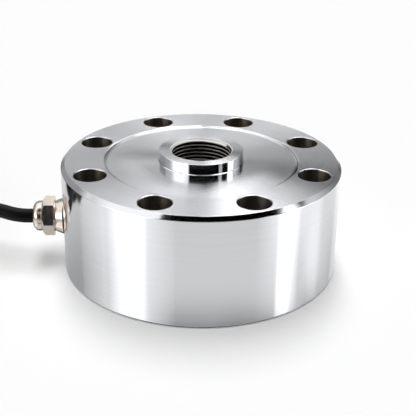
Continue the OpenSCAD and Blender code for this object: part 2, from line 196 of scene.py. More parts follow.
# %% Draw the cable
def round_cord(name, route, radius, sides=4, along=4):
    """A curve with a round bevel through a route in millimetres."""
    curve = bpy.data.curves.new(name, "CURVE")
    curve.dimensions = "3D"
    curve.bevel_depth = mm(radius)
    curve.bevel_resolution = sides
    curve.resolution_u = along
    curve.use_fill_caps = True
    line = curve.splines.new("BEZIER")
    line.bezier_points.add(len(route) - 1)
    for point, place in zip(line.bezier_points, route):
        point.co = mm(*place)
        point.handle_left_type = point.handle_right_type = "AUTO"
    cord = bpy.data.objects.new(name, curve)
    bpy.context.scene.collection.objects.link(cord)
    return cord


cable = round_cord("cable", cable_route, cable_r)
print("cable drawn,", 2 * cable_r, "mm thick")

# %% [markdown]
# At the far end four cores and the screen's drain wire come out of a shrunk sleeve and fan out on top of
# the coil. They are curves as well, each one moved to its side of the same middle line.

# %% Cores and drain wire
coil_top = 31.2
core_r, drain_r, core_gap = 0.75, 0.5, 1.6
drain_drop, clearance = 1.6, 0.1
sleeve_runs = (1, 6, 11)
tail_tip = (tail_end[1][0] - coil_x, tail_end[1][1] - coil_y)
fan_route = [
    (42, 17.6, 3.2), (44, 13.6, 2.2), (44.6, 9, 1.2), (44.2, 4, 0.8),
    (43, -2, 0.8), (41, -8, 0.8), (38, -14, 0.8),
]
fan_spread = [1.05, 1.2, 1.5, 1.9, 2.4, 2.9, 3.4]


def free_wire(side, radius, drop, points):
    """Route of a wire that runs this many core widths beside the middle line, up to a point of the fan."""
    middle = [
        (tail_tip[0] + run * along_tail[0], tail_tip[1] + run * along_tail[1], tail_z - coil_top)
        for run in sleeve_runs
    ] + fan_route
    straight = len(sleeve_runs)
    spread = [1] * straight + fan_spread
    route = []
    for i, (x, y, up) in enumerate(middle[:straight + points]):
        before, after = middle[max(i - 1, 0)], middle[min(i + 1, len(middle) - 1)]
        along = Vector((after[0] - before[0], after[1] - before[1])).normalized()
        rise = up - drop if i < straight else max(up - drop, radius + clearance)
        shift = side * core_gap * spread[i]
        route.append((coil_x + x - along.y * shift, coil_y + y + along.x * shift, coil_top + rise))
    return route


core_colours = ["red", "green", "white", "black"]
cores = {
    name: round_cord(name + "_core", free_wire(1.5 - i, core_r, 0, 7), core_r, sides=3)
    for i, name in enumerate(core_colours)
}
drain = round_cord("screen_drain", free_wire(0, drain_r, drain_drop, 5), drain_r, sides=3)
print("free end:", ", ".join(cores), "and the drain wire")

# %% [markdown]
# ## Turned pieces
# Most of a load cell comes off a lathe. The same is done here: a ring of points is drawn at the first
# radius, and each extrude carries it on to the next corner of the outline, as a lathe tool would go
# round the profile. Joining the last ring to the first closes the shape, and the corners get their small
# radius from a bevel, so that they catch the light.

# %% A lathe
merge_distance = mm(0.001)


def revolve(name, outline, steps, fill_type="NOTHING"):
    """Extrudes a circle from the first (radius, height) corner in mm through all the others."""
    take()
    (radius, height), *others = outline
    bpy.ops.mesh.primitive_circle_add(
        vertices=steps, radius=mm(radius), fill_type=fill_type, location=(0, 0, mm(height))
    )
    piece = bpy.context.object
    piece.name = piece.data.name = name
    bpy.ops.object.transform_apply()
    bpy.ops.object.mode_set(mode="EDIT")
    bpy.ops.mesh.select_all(action="SELECT")
    for next_radius, next_height in others:
        bpy.ops.mesh.extrude_region_move(
            TRANSFORM_OT_translate={"value": (0, 0, mm(next_height - height))}
        )
        grow = next_radius / radius
        bpy.ops.transform.resize(value=(grow, grow, 1), center_override=(0, 0, mm(next_height)))
        radius, height = next_radius, next_height
    bpy.ops.mesh.select_all(action="SELECT")
    bpy.ops.mesh.remove_doubles(threshold=merge_distance)
    bpy.ops.mesh.normals_make_consistent(inside=False)
    bpy.ops.object.mode_set(mode="OBJECT")
    return piece


def turn(name, outline, steps=192):
    """A closed ring of revolution round Z from its outline, as (radius, height) corners in mm."""
    return revolve(name, outline + outline[:1], steps)


def modify(piece, kind, **settings):
    """Adds a modifier with these settings and applies it."""
    take(piece)
    modifier = piece.modifiers.new(kind.title(), kind)
    for name, value in settings.items():
        setattr(modifier, name, value)
    bpy.ops.object.modifier_apply(modifier=modifier.name)
    return piece


def cut(piece, tool):
    """Takes the tool's shape out of the piece and throws the tool away."""
    modify(piece, "BOOLEAN", operation="DIFFERENCE", solver="EXACT", object=tool)
    bpy.data.objects.remove(tool)


def round_corners(piece, radius, sharper_than=40, segments=2):
    """Small radius on every corner that is sharper than this many degrees."""
    modify(piece, "BEVEL", width=mm(radius), segments=segments, limit_method="ANGLE",
           angle_limit=math.radians(sharper_than))


def smooth(piece, sharper_than=35):
    """Smooth shading that keeps flats flat and sharp corners sharp."""
    take(piece)
    bpy.ops.object.shade_smooth_by_angle(angle=math.radians(sharper_than))
    modify(piece, "WEIGHTED_NORMAL", keep_sharp=True, weight=100)


# %% [markdown]
# ### Sensing body
# Rim, spokes, hub and boss are one piece of steel. Its outline runs up the outside of the rim, into the
# recess of the top cover and the wiring channel below it, over the hub and the boss, down through the
# thread's bore, and back along the underside, which has the same recess and channel.

# %% Turn the blank
body_r, rim_top = 71.5, 57.5
base_chamfer, rim_chamfer = 1.2, 2
recess_r, recess_top = 49.25, 56.3
ledge_r, ledge_top, channel_floor = 46.45, 54.3, 49.3
hub_r, boss_r, boss_top, bore_r = 24.5, 21.6, 62.4, 14.9
thread_sink = 1.2
edge_run, edge_fall = 0.8, 0.45
boss_edge, boss_edge_fall = 0.3, 0.16
under_hub, under_ledge, channel_roof, under_chamfer = 1.2, 3.2, 8.2, 0.5

body = turn("sensing_body_steel", [
    (body_r - base_chamfer, 0), (body_r, base_chamfer),
    (body_r, rim_top - rim_chamfer), (body_r - rim_chamfer, rim_top),
    (recess_r + edge_run, rim_top), (recess_r, rim_top - edge_fall),
    (recess_r, ledge_top), (ledge_r, ledge_top), (ledge_r, channel_floor),
    (hub_r, channel_floor), (hub_r, ledge_top), (boss_r, ledge_top),
    (boss_r, boss_top - boss_edge_fall), (boss_r - boss_edge, boss_top),
    (bore_r + thread_sink, boss_top), (bore_r, boss_top - thread_sink),
    (bore_r, under_hub + thread_sink), (bore_r + thread_sink, under_hub),
    (boss_r, under_hub), (boss_r, under_ledge), (hub_r, under_ledge), (hub_r, channel_roof),
    (ledge_r, channel_roof), (ledge_r, under_ledge), (recess_r, under_ledge),
    (recess_r, under_hub), (recess_r + under_chamfer, 0),
], steps=256)
round_corners(body, 0.15, segments=3)
print("blank:", len(body.data.polygons), "faces")

# %% [markdown]
# Eight holes go through the rim for the mounting screws. Their mouths are broken with a polishing disc, so
# each has a round edge that shows as a bright thin line all round. The tool for them is a filled circle that
# is extruded through the rim and widens in a quarter circle at both ends. It is copied round the circle, and
# each copy is taken out of the blank.

# %% Drill the rim
hole_r, hole_edge, hole_circle_r = 8.05, 0.5, 59.5
hole_count = 8
hole_step = 360 / hole_count


def drill(name, corners, steps=64):
    """A solid tool along Z from (radius, height) corners in mm."""
    return revolve(name, corners, steps, fill_type="NGON")


mouth_turns = [math.radians(degrees) for degrees in (0, 20, 40, 60, 78)]
mouth = [
    (hole_r + hole_edge * (1 - math.cos(a)), rim_top - hole_edge * (1 - math.sin(a))) for a in mouth_turns
] + [(hole_r + hole_edge + 0.2, rim_top + 0.1)]
for i in range(hole_count):
    angle = math.radians(hole_step * (i + 0.5))
    tool = drill("drill", [(r, rim_top - z) for r, z in reversed(mouth)] + mouth)
    tool.location = mm(hole_circle_r * math.cos(angle), hole_circle_r * math.sin(angle), 0)
    cut(body, tool)
print("drilled:", len(body.data.polygons), "faces")

# %% [markdown]
# ### Spokes
# Four windows are milled between the wiring channels, and what stays between them are the four spokes that
# carry the load. A window is a piece of a ring with round corners. Its outline is walked once, point by
# point, from the middle of the inner arc to the middle of the outer one, and the other half mirrors it.

# %% Mill the windows
spoke_half, corner_r = 8, 4
window_in, window_out = hub_r + 0.05, ledge_r - 0.05
flank_in = math.sqrt((window_in + corner_r) ** 2 - (spoke_half + corner_r) ** 2)
flank_out = math.sqrt((window_out - corner_r) ** 2 - (spoke_half + corner_r) ** 2)


def arc(x, y, radius, start, end, steps):
    """Points on an arc round (x, y), between two angles in degrees."""
    angles = [math.radians(start + (end - start) * i / steps) for i in range(steps + 1)]
    return [(x + radius * math.cos(a), y + radius * math.sin(a)) for a in angles]


corner_in = math.degrees(math.atan2(flank_in, spoke_half + corner_r))
corner_out = math.degrees(math.atan2(flank_out, spoke_half + corner_r))
half = [
    *arc(0, 0, window_in, 45, corner_in, 6),
    *arc(spoke_half + corner_r, flank_in, corner_r, corner_in + 180, 180, 5)[1:],
    *arc(spoke_half + corner_r, flank_out, corner_r, 180, corner_out, 5),
    *arc(0, 0, window_out, corner_out, 45, 12)[1:],
]
window = half[:-1] + [(y, x) for x, y in reversed(half)][:-1]


def one_point(name, x, y, z):
    """A mesh of one selected point, left in edit mode, from which an outline can be extruded."""
    take()
    bpy.ops.mesh.primitive_plane_add(size=mm(1), location=mm(x, y, z))
    piece = bpy.context.object
    piece.name = name
    bpy.ops.object.transform_apply()
    bpy.ops.object.mode_set(mode="EDIT")
    bpy.ops.mesh.merge(type="CENTER")
    return piece


def milled(name, outline, low, high):
    """A solid tool along Z from a closed outline of (x, y) corners in mm."""
    (x, y), *others = outline
    tool = one_point(name, x, y, low)
    for next_x, next_y in others + [outline[0]]:
        bpy.ops.mesh.extrude_region_move(TRANSFORM_OT_translate={"value": mm(next_x - x, next_y - y, 0)})
        x, y = next_x, next_y
    bpy.ops.mesh.select_all(action="SELECT")
    bpy.ops.mesh.remove_doubles(threshold=merge_distance)
    bpy.ops.mesh.edge_face_add()
    bpy.ops.mesh.extrude_region_move(TRANSFORM_OT_translate={"value": mm(0, 0, high - low)})
    bpy.ops.mesh.select_all(action="SELECT")
    bpy.ops.mesh.normals_make_consistent(inside=False)
    bpy.ops.object.mode_set(mode="OBJECT")
    return tool


past_wall = 2
for i in range(4):
    tool = milled("window", window, channel_roof - past_wall, channel_floor + past_wall)
    tool.rotation_euler = (0, 0, math.radians(90 * i - 45))
    cut(body, tool)
print("windows milled:", len(body.data.polygons), "faces")

# %% [markdown]
# Each spoke is thinned from both flanks by a round pocket. The gauges sit on the thin web that is left,
# where the steel stretches most.

# %% Sink the gauge pockets
pocket_r, pocket_depth, past_flank = 6.5, 2.5, 3
pocket_x, spoke_mid = (flank_in + flank_out) / 2, (channel_floor + channel_roof) / 2
for i in range(4):
    spoke = math.radians(45 + 90 * i)
    for side in (-1, 1):
        tool = drill("pocket", [
            (pocket_r, spoke_half - pocket_depth), (pocket_r, spoke_half + past_flank),
        ])
        tool.rotation_euler = (math.radians(-90 * side), 0, spoke)
        tool.location = mm(pocket_x * math.cos(spoke), pocket_x * math.sin(spoke), spoke_mid)
        cut(body, tool)
print("pockets sunk:", len(body.data.polygons), "faces")

# %% [markdown]
# ### Load thread
# The thread is cut with a tap: a screw-shaped tool whose ridges leave the grooves. Its outline is one
# turn of the thread's profile, and the Screw modifier winds it up through the hub, from below the base to
# above the boss. The ends are bisected flat so that the tap is a closed solid.

# %% Tap the hub
thread_pitch, thread_turns = 2, 34
root_r, crest_r = 14.6, 16
wound_from, tap_low, tap_high = -3.5, 0.3, 63.3
profile = [(root_r, 0), (root_r, 0.1), (crest_r, 0.875), (crest_r, 1.125), (root_r, 1.9), (root_r, 2)]

tap = one_point("tap", root_r, 0, wound_from)
for (r, z), (next_r, next_z) in zip(profile, profile[1:]):
    bpy.ops.mesh.extrude_region_move(TRANSFORM_OT_translate={"value": mm(next_r - r, 0, next_z - z)})
bpy.ops.object.mode_set(mode="OBJECT")
modify(tap, "SCREW", screw_offset=mm(thread_pitch), iterations=thread_turns, steps=72, render_steps=72,
       use_merge_vertices=True, merge_threshold=merge_distance)
bpy.ops.object.mode_set(mode="EDIT")
bpy.ops.mesh.select_all(action="SELECT")
bpy.ops.mesh.remove_doubles(threshold=merge_distance)
for height, below in ((tap_low, True), (tap_high, False)):
    bpy.ops.mesh.select_all(action="SELECT")
    bpy.ops.mesh.bisect(
        plane_co=(0, 0, mm(height)), plane_no=(0, 0, 1), use_fill=True,
        clear_inner=below, clear_outer=not below,
    )
bpy.ops.mesh.select_all(action="SELECT")
bpy.ops.mesh.normals_make_consistent(inside=False)
bpy.ops.object.mode_set(mode="OBJECT")
print("tap:", len(tap.data.polygons), "faces")
cut(body, tap)
print("tapped:", len(body.data.polygons), "faces")

# %% [markdown]
# ### Gland port
# On the cable's side the rim has a shallow flat for the gland's seal, a threaded port and a passage for
# the cable. These are two round cuts along the gland's axis.

# %% Spot-face and bore the port
seat_x = 70.8
spot_r, port_r, port_depth = 9.85, 7.4, 10
passage_r, passage_depth = 4.5, 35.3


def towards_cable(piece):
    """Lays a piece that was turned round Z along the gland's axis, with Z pointing out of the rim."""
    piece.rotation_euler = (0, math.radians(-90), 0)
    piece.location = mm(-seat_x, 0, gland_z)
    take(piece)
    bpy.ops.object.transform_apply()
    return piece


cut(body, towards_cable(drill("spot_face", [(spot_r, 0), (spot_r, 2)])))
cut(body, towards_cable(drill("port", [
    (passage_r, -passage_depth), (passage_r, -port_depth), (port_r, -port_depth), (port_r, 1),
])))
smooth(body)
print("body:", len(body.data.polygons), "faces")

# %% [markdown]
# ### Covers
# A thin turned ring closes the wiring channel above the spokes and another one below. The upper one is
# dished a little: it rises towards the boss, and its outer edge flares up to the chamfer of the recess, so
# that the two slopes catch the light as one bright band at the back. A low bead round its inner edge does
# the same at the foot of the boss, where it draws a thin bright line.

# %% Turn the covers
cover_in, cover_out = boss_r + 0.12, recess_r - 0.15
cover_top, dish_top = recess_top + 0.25, recess_top + 0.65
flare_top, flare_run = rim_top - 0.5, 1
bead_run, bead_rise = 0.45, 0.26
covers = [
    turn("top_cover_plate", [
        (cover_in, ledge_top), (cover_out, ledge_top), (cover_out, flare_top),
        (cover_out - flare_run, cover_top), (cover_in + bead_run, dish_top), (cover_in, dish_top + bead_rise),
    ], steps=256),
    turn("bottom_cover_plate", [
        (cover_in, under_hub), (cover_out, under_hub), (cover_out, under_ledge), (cover_in, under_ledge),
    ], steps=256),
]
for cover in covers:
    round_corners(cover, 0.08)
    smooth(cover, sharper_than=15)
print("covers:", [len(cover.data.polygons) for cover in covers], "faces")

# %% [markdown]
# ## Gland
# The gland clamps the cable where it enters the rim. Its body has a flared collar and a grooved neck,
# and the nut is a hexagon and a dome in one piece. Both are turned, and the hexagon is then milled: the
# turned nut is intersected with a six-sided bar.

# %% Gland body
port_thread_r, port_thread_end, lead_in = 7.3, -9, 0.6
collar_r, collar_face_r, collar_start, collar_end = 9.65, 8.25, 0.6, 4.5
neck_r, ring_r, neck_end = 7.5, 8, 5.5
nut_thread_r, nut_thread_end = 6.6, 10.6
cable_bore_r, seal_bore_r, seal_seat = 4.1, 5.2, 5.3
gland_body = towards_cable(turn("gland_body_nickel", [
    (cable_bore_r, port_thread_end), (port_thread_r - lead_in, port_thread_end),
    (port_thread_r, port_thread_end + lead_in), (port_thread_r, collar_start),
    (collar_r, collar_start), (collar_r, collar_start + 0.3), (collar_face_r, collar_end),
    (collar_face_r - 0.35, collar_end + 0.05), (neck_r, collar_end + 0.15), (neck_r, neck_end - 0.65),
    (ring_r, neck_end - 0.5), (ring_r, neck_end), (nut_thread_r, neck_end),
    (nut_thread_r, nut_thread_end), (seal_bore_r, nut_thread_end), (seal_bore_r, seal_seat),
    (cable_bore_r, seal_seat),
], steps=96))
round_corners(gland_body, 0.12, sharper_than=25)
smooth(gland_body)
print("gland body:", len(gland_body.data.polygons), "faces")

# %% Gland nut
hex_end, dome_straight, nut_tip = 11.3, 13.4, 16.7
across_flats, nut_turn = 18, 25
lip_r, mouth_r, dome_r = 4.3, 3.9, 7.9
nut_bore_r, shoulder_r, groove_r, mouth_start = 6.7, 9.2, 7.5, 15.8
hex_corner_r = across_flats / 2 / math.cos(math.radians(30))
dome = [
    (lip_r + (dome_r - lip_r) * math.cos(math.radians(a)),
     dome_straight + (nut_tip - dome_straight) * math.sin(math.radians(a)))
    for a in range(0, 91, 10)
]
blank_r = hex_corner_r + 0.4
nut = turn("gland_nut_nickel", [
    (nut_bore_r, neck_end), (blank_r, neck_end), (blank_r, hex_end - 1.4), (shoulder_r, hex_end),
    (groove_r, hex_end), (groove_r, hex_end + 0.4), (dome_r, hex_end + 0.7), *dome, (mouth_r, nut_tip),
    (mouth_r, mouth_start), (nut_bore_r, dome_straight),
], steps=96)
take()
bpy.ops.mesh.primitive_cylinder_add(
    vertices=6, radius=mm(hex_corner_r), depth=mm(30), location=mm(0, 0, 10),
    rotation=(0, 0, math.radians(nut_turn + 30)),
)
bar = bpy.context.object
modify(nut, "BOOLEAN", operation="INTERSECT", solver="EXACT", object=bar)
bpy.data.objects.remove(bar)
round_corners(nut, 0.15, sharper_than=30)
towards_cable(nut)
smooth(nut)
print("nut:", len(nut.data.polygons), "faces")

# %% [markdown]
# ## Sleeve and ties
# A black heat-shrink sleeve covers the end of the sheath, and three nylon ties hold the coil.

# %% End sleeve
sleeve_r, sleeve_len, sleeve_lap = 4.2, 18, 8
over_sheath_r, over_cores_r = 3.9, 3.5
sleeve = turn("shrink_sleeve", [
    (over_sheath_r, 0), (sleeve_r, 0.4), (sleeve_r, sleeve_lap), (sleeve_r - 0.1, sleeve_lap + 1.5),
    (sleeve_r - 0.1, sleeve_len - 0.5), (over_cores_r + 0.3, sleeve_len), (over_cores_r, sleeve_len),
    (over_cores_r, sleeve_lap + 1), (over_sheath_r, sleeve_lap),
], steps=48)
sleeve.rotation_euler = (0, math.radians(90), end_angle - math.radians(90))
sleeve.location = mm(
    tail_end[1][0] - sleeve_lap * along_tail[0], tail_end[1][1] - sleeve_lap * along_tail[1], tail_z
)
take(sleeve)
bpy.ops.object.transform_apply()
smooth(sleeve)
print("sleeve:", sleeve_len, "mm long,", sleeve_lap, "mm of it on the sheath")

# %% [markdown]
# ## Materials
# Colours are written as sRGB hex values, as a picker shows them, and one function turns them into the
# linear values that a shader takes. Another adds a node with its settings and links, and a third starts a
# material from the Principled shader. A pattern then drives three things at once, as wear and tool marks
# do on a real surface: the tone, the gloss and a shallow relief. All patterns read Object coordinates,
# which are metres here, so the scale of a pattern is one over its real size.

# %% Colours and nodes
def colour(code):
    """Linear RGBA of an sRGB hex colour."""
    parts = [int(code[i:i + 2], 16) / 255 for i in (1, 3, 5)]
    linear = [part / 12.92 if part <= 0.04045 else ((part + 0.055) / 1.055) ** 2.4 for part in parts]
    return (*linear, 1)


def add_node(tree, kind, settings=None, inputs=None):
    """Adds a node, sets its properties, and fills or links its sockets."""
    node = tree.nodes.new(kind)
    for name, value in (settings or {}).items():
        setattr(node, name, value)
    for name, value in (inputs or {}).items():
        if isinstance(value, bpy.types.NodeSocket):
            tree.links.new(value, node.inputs[name])
        else:
            node.inputs[name].default_value = value
    return node


def new_material(name, **values):
    """A material with constant values on its Principled shader, and its node tree."""
    material = bpy.data.materials.new(name)
    material.use_nodes = True
    shader = material.node_tree.nodes["Principled BSDF"]
    for socket, value in values.items():
        shader.inputs[socket.replace("_", " ")].default_value = value
    return material, material.node_tree


def dress(tree, pattern, dark, light, gloss, relief):
    """Lets a pattern from 0 to 1 drive the colour, the roughness and the height of the relief in mm."""
    shader = tree.nodes["Principled BSDF"]
    tone = add_node(tree, "ShaderNodeMix", {"data_type": "RGBA"}, {
        0: pattern, 6: colour(dark), 7: colour(light),
    })
    rough = add_node(tree, "ShaderNodeMapRange", inputs={
        "Value": pattern, "From Min": 0.3, "From Max": 0.7, "To Min": gloss[0], "To Max": gloss[1],
    })
    bump = add_node(tree, "ShaderNodeBump", inputs={
        "Height": pattern, "Distance": mm(relief), "Strength": 1.0,
    })
    tree.links.new(tone.outputs[2], shader.inputs["Base Color"])
    tree.links.new(rough.outputs[0], shader.inputs["Roughness"])
    tree.links.new(bump.outputs[0], shader.inputs["Normal"])


def grained(name, dark, light, grain, gloss, relief, stretch=(1, 1, 1), **values):
    """A material with an even random grain of this size in mm."""
    material, tree = new_material(name, **values)
    place = add_node(tree, "ShaderNodeTexCoord")
    spread = add_node(tree, "ShaderNodeVectorMath", {"operation": "MULTIPLY"}, {
        0: place.outputs["Object"], 1: tuple(share / mm(grain) for share in stretch),
    })
    noise = add_node(tree, "ShaderNodeTexNoise", inputs={
        "Vector": spread.outputs[0], "Scale": 1.0, "Detail": 3.0,
    })
    dress(tree, noise.outputs[0], dark, light, gloss, relief)
    return material


def from_axis(tree):
    """Distance of the shaded point from the Z axis, and its separate X, Y and Z, as node outputs."""
    place = add_node(tree, "ShaderNodeTexCoord")
    flat = add_node(tree, "ShaderNodeVectorMath", {"operation": "MULTIPLY"}, {
        0: place.outputs["Object"], 1: (1, 1, 0),
    })
    radius = add_node(tree, "ShaderNodeVectorMath", {"operation": "LENGTH"}, {0: flat.outputs[0]})
    split = add_node(tree, "ShaderNodeSeparateXYZ", inputs={"Vector": place.outputs["Object"]})
    return radius.outputs["Value"], split.outputs


print("a middle grey is", round(colour("#808080")[0], 3), "in linear light")

# %% [markdown]
# ### Turned steel
# The body is stainless steel from a lathe. Its last cut leaves fine rings, far too fine to see one by one,
# and they smear a reflection across themselves: along a spoke on the faces, and up and down on the side.
# Anisotropy does that, with a tangent that runs round the Z axis and a quarter turn. The rings' own tones
# are drawn 0.9 mm wide, some ten times too coarse, so that a few of them still show. One noise along the
# radius plus the height gives rings on the faces and on the side alike. The side, the chamfers and the
# boss are polished after turning, so they are nearly mirrors, and only a waviness 2.2 mm wide is left.

# %% Steel finishes
def turned(name, roughness, smear, wander, ring=0.9, relief=0.002, dark="#dbdce0", light="#e9eaec"):
    """Steel with circular tool marks, their width and relief in mm, and the roughness and how it wanders."""
    material, tree = new_material(name, Metallic=1.0, Anisotropic=smear, Anisotropic_Rotation=0.25)
    shader = tree.nodes["Principled BSDF"]
    around = add_node(tree, "ShaderNodeTangent", {"direction_type": "RADIAL", "axis": "Z"})
    tree.links.new(around.outputs["Tangent"], shader.inputs["Tangent"])
    radius, place = from_axis(tree)
    travel = add_node(tree, "ShaderNodeMath", {"operation": "ADD"}, {0: radius, 1: place["Z"]})
    marks = add_node(tree, "ShaderNodeTexNoise", {"noise_dimensions": "1D"}, {
        "W": travel.outputs[0], "Scale": 1 / mm(ring), "Detail": 2.0,
    })
    dress(tree, marks.outputs[0], dark, light, (roughness - wander, roughness + wander), relief)
    return material


face_steel = turned("fine-turned stainless steel", 0.25, 1.0, 0.02)
side_steel = turned(
    "polished stainless steel", 0.1, 0.5, 0.004, ring=2.2, relief=0.0004, dark="#e0e1e4", light="#e5e6e8",
)
mirror_steel = turned(
    "mirror-polished stainless steel", 0.05, 0.3, 0.004, ring=2.2, relief=0.0002,
    dark="#e2e3e5", light="#e5e6e8",
)
print("steels:", ", ".join(steel.name for steel in (face_steel, side_steel, mirror_steel)))

# %% [markdown]
# The cover is turned in the same way, but next to the boss it has been rubbed nearly to a mirror, most of
# all at the front, as the crisp picture of the boss in it shows. Its roughness therefore falls towards the
# boss, by the distance from the middle and by the depth.

# %% Cover steel
cover_steel = turned("turned and lapped stainless steel", 0.25, 1.0, 0.02)
tree = cover_steel.node_tree
lapped_r, brushed_r = 27, 46
lapped_y, brushed_y = -14, 6
lapped_share = 0.32
radius, place = from_axis(tree)
outward = add_node(tree, "ShaderNodeMapRange", {"interpolation_type": "SMOOTHSTEP"}, {
    "Value": radius, "From Min": mm(lapped_r), "From Max": mm(brushed_r),
})
backward = add_node(tree, "ShaderNodeMapRange", {"interpolation_type": "SMOOTHSTEP"}, {
    "Value": place["Y"], "From Min": mm(lapped_y), "From Max": mm(brushed_y),
})
brushed = add_node(tree, "ShaderNodeMath", {"operation": "MAXIMUM"}, {
    0: outward.outputs[0], 1: backward.outputs[0],
})
share = add_node(tree, "ShaderNodeMapRange", inputs={
    "Value": brushed.outputs[0], "To Min": lapped_share, "To Max": 1.0,
})
roughness = tree.nodes["Principled BSDF"].inputs["Roughness"]
both = add_node(tree, "ShaderNodeMath", {"operation": "MULTIPLY"}, {
    0: roughness.links[0].from_socket, 1: share.outputs[0],
})
tree.links.new(both.outputs[0], roughness)
print("the cover is", lapped_share, "as rough at the boss as it is at the rim")

# %% [markdown]
# Inside holes and windows the steel keeps its machined surface. A drill leaves feed marks about 0.5 mm
# apart, and the wall's dark, warm tone is painted shade of the hole. In the thread the flanks' dark, warm
# tone is painted shade, the crests' lighter tone a painted highlight. An end mill leaves a matt, even grain.

# %% Bore, thread and window steel
# The wall's dark, warm tone is painted shade of the hole; the feed marks are real.
bore_steel_painted_shade = turned(
    "drilled steel with painted shade", 0.38, 0.9, 0.04, ring=0.5, relief=0.004, dark="#6c655d", light="#857d73",
)
# The crests' lighter tone is a painted highlight.
crest_steel_painted_highlight = turned(
    "thread crest with painted highlight", 0.6, 0.2, 0.04, ring=0.5, relief=0.001, dark="#e6e5e3", light="#f5f4f2",
)
# The flanks' dark, warm tone is painted shade in the thread's grooves.
flank_steel_painted_shade = turned(
    "tapped steel with painted shade", 0.24, 0.2, 0.06, ring=0.35, relief=0.003, dark="#46403a", light="#69625a",
)
milled_steel = grained("milled steel", "#a9aaac", "#c3c4c6", 0.6, (0.32, 0.46), 0.01, Metallic=1.0)
print("machined:", ", ".join(steel.name for steel in (bore_steel_painted_shade, crest_steel_painted_highlight, flank_steel_painted_shade, milled_steel)))

# %% [markdown]
# The finishes go onto the body's faces by place: every face knows its centre and its normal, and from
# them follows whether it lies on the side, on an edge, in a hole, in the thread or inside.

# %% Give each face its finish
finishes = [face_steel, side_steel, mirror_steel, bore_steel_painted_shade, crest_steel_painted_highlight, flank_steel_painted_shade, milled_steel]
FACE, SIDE, MIRROR, BORE, CREST, FLANK, MILLED = range(len(finishes))


def finish_of(face):
    """Number of the finish that a face of the body has."""
    x, y, z = (value * 1000 for value in face.center)
    radius = math.hypot(x, y)
    outwards = (x * face.normal.x + y * face.normal.y) / max(radius, 1e-9)
    sector = math.radians(hole_step * (math.floor(math.degrees(math.atan2(y, x)) / hole_step) + 0.5))
    from_hole = math.hypot(x - hole_circle_r * math.cos(sector), y - hole_circle_r * math.sin(sector))
    if from_hole < hole_r + hole_edge + 0.1 and abs(face.normal.z) < 0.995:
        return BORE if abs(face.normal.z) < 0.3 else MIRROR
    if radius > body_r - rim_chamfer - 0.1 and outwards > 0.2:
        return SIDE
    if radius < crest_r + 0.3 and (abs(face.normal.z) < 0.95 or z < boss_top - 1):
        return CREST if radius < bore_r + 0.1 or z > boss_top - thread_sink - 0.1 else FLANK
    if boss_r - boss_edge - 0.1 < radius < boss_r + 0.1 and outwards > 0.2 and z > ledge_top:
        return MIRROR
    if recess_r - 0.1 < radius < recess_r + edge_run and z > ledge_top + 1 and outwards < -0.1:
        return MIRROR
    return MILLED if under_hub + 0.1 < z < ledge_top + 1 else FACE


for material in finishes:
    body.data.materials.append(material)
for face in body.data.polygons:
    face.material_index = finish_of(face)
for cover in covers:
    cover.data.materials.append(cover_steel)
print("faces of each finish:", [
    sum(face.material_index == number for face in body.data.polygons) for number in range(len(finishes))
])

# %% [markdown]
# ### Gland
# The gland is brass with a bright nickel plating: warmer than steel, and nearly a mirror, with the slight
# waviness of plating over a turned surface.

# %% Nickel plate
nickel = grained(
    "nickel-plated brass", "#dad0c4", "#e6ddd2", 1.2, (0.2, 0.27), 0.001, stretch=(1, 0.6, 0.6), Metallic=1.0,
)
for piece in (gland_body, nut):
    piece.data.materials.append(nickel)
print(nickel.name, "on the gland's body and nut")

# %% [markdown]
# ### Rubber and plastics
# The sheath is soft PVC from an extruder: black, satin, with a fine orange peel. The sleeve is polyolefin
# that has shrunk onto it, a little duller. The gland's seal and washer are moulded rubber, which is matt,
# and the ties are nylon, which is harder and shinier. The clamping ring inside the nut is natural nylon.

# %% Sheath, sleeve, rubber and nylon
sheath = grained(
    "satin PVC sheath", "#030303", "#070708", 0.5, (0.34, 0.44), 0.004, Specular_IOR_Level=0.15,
)
shrunk = grained(
    "shrunk polyolefin", "#0a0a0b", "#121213", 0.8, (0.42, 0.55), 0.008, Specular_IOR_Level=0.3,
)
rubber = grained("moulded rubber", "#131313", "#1f1f1f", 0.4, (0.55, 0.7), 0.008)
tie_nylon = grained("black nylon", "#0f0f10", "#191919", 1.5, (0.32, 0.45), 0.004)
clamp_nylon = grained("natural nylon", "#d9d2c0", "#e8e3d5", 1.2, (0.35, 0.48), 0.004, IOR=1.53)
cable.data.materials.append(sheath)
sleeve.data.materials.append(shrunk)


def finish_nodes(material, *names):
    """Gives CAD nodes a material in place of the plain one."""
    for name in names:
        nodes[name].data.materials.clear()
        nodes[name].data.materials.append(material)


finish_nodes(sheath, "inner_sheath")
finish_nodes(rubber, "gland_washer", "gland_seal")
finish_nodes(tie_nylon, "cable_tie_1", "cable_tie_2", "cable_tie_3")
finish_nodes(clamp_nylon, "gland_clamp")
print("plastics:", ", ".join(each.name for each in (sheath, shrunk, rubber, tie_nylon, clamp_nylon)))

# %% [markdown]
# ### Wires
# The cores have coloured PVC round their strands, and the drain wire is tinned copper: soft metal with a
# grey, slightly cloudy shine. The gauges' own wires are copper with a clear brown enamel.

